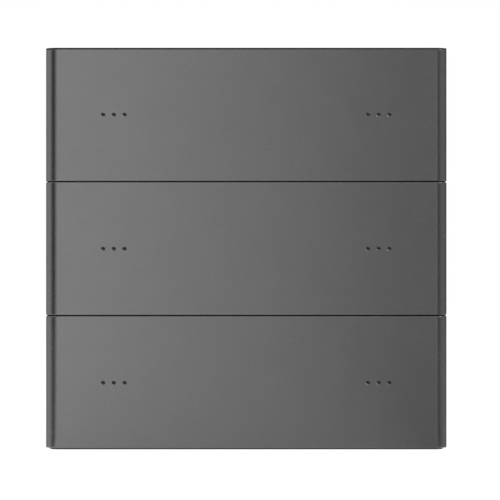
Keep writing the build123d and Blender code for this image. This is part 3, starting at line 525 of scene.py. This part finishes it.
def make_materials():
    made = {
        "graphite_paint": graphite_paint(),
        # each powder coat's second colour is a painted highlight on its grain's peaks; the third is its dust
        "chassis_paint": powder_coat("chassis_paint", (0.016, 0.0165, 0.0175), (0.026, 0.0265, 0.028),
                                     (0.011, 0.011, 0.012), 0.5),
        "case_paint": powder_coat("case_paint", (0.06, 0.06, 0.062), (0.085, 0.085, 0.088),
                                  (0.045, 0.045, 0.047), 0.42),
        "zinc_steel": zinc_steel(),
        "screw_steel": brushed("screw_steel", (0.45, 0.45, 0.46), (0.3, 0.3, 0.31), 1.0, 0.25, 0.42, "y"),
        "strap_steel": brushed("strap_steel", (0.55, 0.55, 0.56), (0.42, 0.42, 0.43), 1.0, 0.22, 0.38, "x"),
        "aluminium": brushed("aluminium", (0.72, 0.72, 0.73), (0.58, 0.58, 0.6), 1.0, 0.28, 0.45, "z"),
        "cell_sleeve": cell_sleeve(),
        "copper": brushed("copper", (0.75, 0.36, 0.2), (0.5, 0.22, 0.12), 1.0, 0.22, 0.4, "x"),
        "brass": brushed("brass", (0.72, 0.5, 0.2), (0.5, 0.33, 0.12), 1.0, 0.22, 0.4, "z"),
        "circuit_board": circuit_board("control_board", "Y", BOARD_FACE_Y, (0.025, 0.026, 0.028), 0.45),
        "black_plastic": moulded("black_plastic", (0.018, 0.018, 0.019), (0.03, 0.03, 0.032), 0.38, 0.55),
        "red_plastic": moulded("red_plastic", (0.42, 0.012, 0.01), (0.5, 0.02, 0.016), 0.28, 0.42),
        "switch_metal": brushed("switch_metal", (0.6, 0.6, 0.61), (0.42, 0.42, 0.43), 1.0, 0.2, 0.36, "y"),
        "smoked_clear": smoked_clear(),
        "rubber": moulded("rubber", (0.014, 0.014, 0.014), (0.024, 0.024, 0.024), 0.6, 0.8),
    }
    for node in NODES.values():
        for place in node.material_slots:
            place.material = made[place.material.name.split(".")[0]]
    lamps_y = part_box("led_boards_1")[0].y + LED_HEIGHT / 2
    lamp_board = circuit_board("lamp_board", "Y", lamps_y, (0.72, 0.68, 0.42), 0.3)
    parts_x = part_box("bms_unit_1")[0].x + BMS_POST + BOARD_THICK + BOARD_MARGIN
    battery_board = circuit_board("battery_board", "X", parts_x, (0.03, 0.031, 0.034), 0.42)
    for number in MODULES:
        NODES[f"led_boards_{number}"].material_slots[0].material = lamp_board
        NODES[f"bms_unit_{number}"].material_slots[0].material = battery_board
    return made


# Detail pieces

PANEL_X = 0.299              # the right side panel's outer face
POCKET_TOP = 0.18
POCKET_FRONT = -0.042
MARK_GAP = 0.0075
MARK_HALF = 0.0035
INK_WIDTH = 0.0011
INK_THICK = 0.00008
ZERO_NARROW = 0.62           # the off mark's width, as a share of its height
ZERO_STEPS = 24
RING_GAP = 35                # the power mark's ring is open this many degrees each side of its stem
RING_STEPS = 28
STEM_FOOT = 0.15             # the stem's ends above the ring's centre, as shares of the ring's radius
STEM_TOP = 1.25
PORT_APART = 0.018
CONTACTS = 8
CONTACT_PITCH = 0.00102
CONTACT_R = 0.00022
# A contact's points, each (forward of the ports' back, below their top).
CONTACT_LINE = ((0.0042, 0.0056), (0.0045, 0.0125), (0.0055, 0.0145), (0.009, 0.0075))


def band(points, width, closed=False):
    """Both edges of a flat line through points in a plane, as pairs."""
    pairs = []
    count = len(points)
    for i, point in enumerate(points):
        before = points[(i - 1) % count] if closed or i > 0 else point
        after = points[(i + 1) % count] if closed or i < count - 1 else point
        run = (after[0] - before[0], after[1] - before[1])
        length = math.hypot(*run)
        side = (-run[1] / length * width / 2, run[0] / length * width / 2)
        pairs.append(((point[0] - side[0], point[1] - side[1]), (point[0] + side[0], point[1] + side[1])))
    return pairs


def printed_mark(name, lines, material):
    """Lines printed on the right side panel: a thin raised film of ink."""
    ink = bmesh.new()
    for points, closed in lines:
        pairs = band(points, INK_WIDTH, closed)
        rows = []
        for left, right in pairs:
            rows.append([
                ink.verts.new((x, y, z))
                for (y, z), x in ((left, PANEL_X), (left, PANEL_X + INK_THICK), (right, PANEL_X + INK_THICK),
                                  (right, PANEL_X))
            ])
        last = len(rows) if closed else len(rows) - 1
        for i in range(last):
            here = rows[i]
            there = rows[(i + 1) % len(rows)]
            for k in range(3):
                ink.faces.new((here[k], here[k + 1], there[k + 1], there[k]))
        if not closed:
            ink.faces.new(rows[0][::-1])
            ink.faces.new(rows[-1])
    bmesh.ops.recalc_face_normals(ink, faces=ink.faces)
    mesh = bpy.data.meshes.new(name)
    ink.to_mesh(mesh)
    ink.free()
    mesh.materials.append(material)
    mark = link(bpy.data.objects.new(name, mesh))
    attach(mark, "frame")


def arc(centre, radius_y, radius_z, start, end, steps):
    """Points round an ellipse, by angles in degrees from straight up."""
    points = []
    for i in range(steps):
        angle = math.radians(start + (end - start) * i / (steps - 1))
        points.append((centre[0] + radius_y * math.sin(angle), centre[1] + radius_z * math.cos(angle)))
    return points


def make_marks():
    """On and off marks by the isolator, and a power mark by the button."""
    finish = Finish("print", (0.62, 0.62, 0.61), roughness=0.5)
    finish.tint(finish.spread(finish.noise(0.0006, detail=3), 0.0, 0.5), (0.5, 0.5, 0.49))
    finish.rough(finish.spread(finish.noise(0.003), 0.42, 0.6))
    handle_low, handle_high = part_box("isolator_handle")
    axis_y = (handle_low.y + handle_high.y) / 2
    axis_z = (handle_low.z + handle_high.z) / 2
    button_low, button_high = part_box("power_button")
    button_z = (button_low.z + button_high.z) / 2
    top_z = POCKET_TOP + MARK_GAP
    bar = ((axis_y, top_z - MARK_HALF), (axis_y, top_z + MARK_HALF))
    printed_mark("mark_on", [(bar, False)], finish.material)
    side_y = POCKET_FRONT - MARK_GAP
    zero = arc((side_y, axis_z), MARK_HALF * ZERO_NARROW, MARK_HALF, 0, 360 - 360 / ZERO_STEPS, ZERO_STEPS)
    printed_mark("mark_off", [(zero, True)], finish.material)
    centre = (side_y, button_z)
    ring = arc(centre, MARK_HALF, MARK_HALF, RING_GAP, 360 - RING_GAP, RING_STEPS)
    stem = ((centre[0], centre[1] + MARK_HALF * STEM_FOOT), (centre[0], centre[1] + MARK_HALF * STEM_TOP))
    printed_mark("mark_power", [(ring, False), (stem, False)], finish.material)


def make_contacts(made):
    """Sprung gold wires in the two data ports, eight in each."""
    low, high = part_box("data_ports")
    middle = (low.x + high.x) / 2
    wires = bpy.data.curves.new("port_contacts", "CURVE")
    wires.dimensions = "3D"
    wires.bevel_depth = CONTACT_R
    wires.bevel_resolution = 2
    wires.use_fill_caps = True
    for port in (-PORT_APART / 2, PORT_APART / 2):
        for k in range(CONTACTS):
            x = middle + port + (k - (CONTACTS - 1) / 2) * CONTACT_PITCH
            line = wires.splines.new("NURBS")
            line.points.add(len(CONTACT_LINE) - 1)
            for point, (back, down) in zip(line.points, CONTACT_LINE):
                point.co = (x, high.y - back, high.z - down, 1.0)
            line.order_u = 3
            line.use_endpoint_u = True
    wires.materials.append(made["brass"])
    piece = link(bpy.data.objects.new("port_contacts", wires))
    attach(piece, "frame")


make_stage()
made = make_materials()
make_marks()
make_contacts(made)
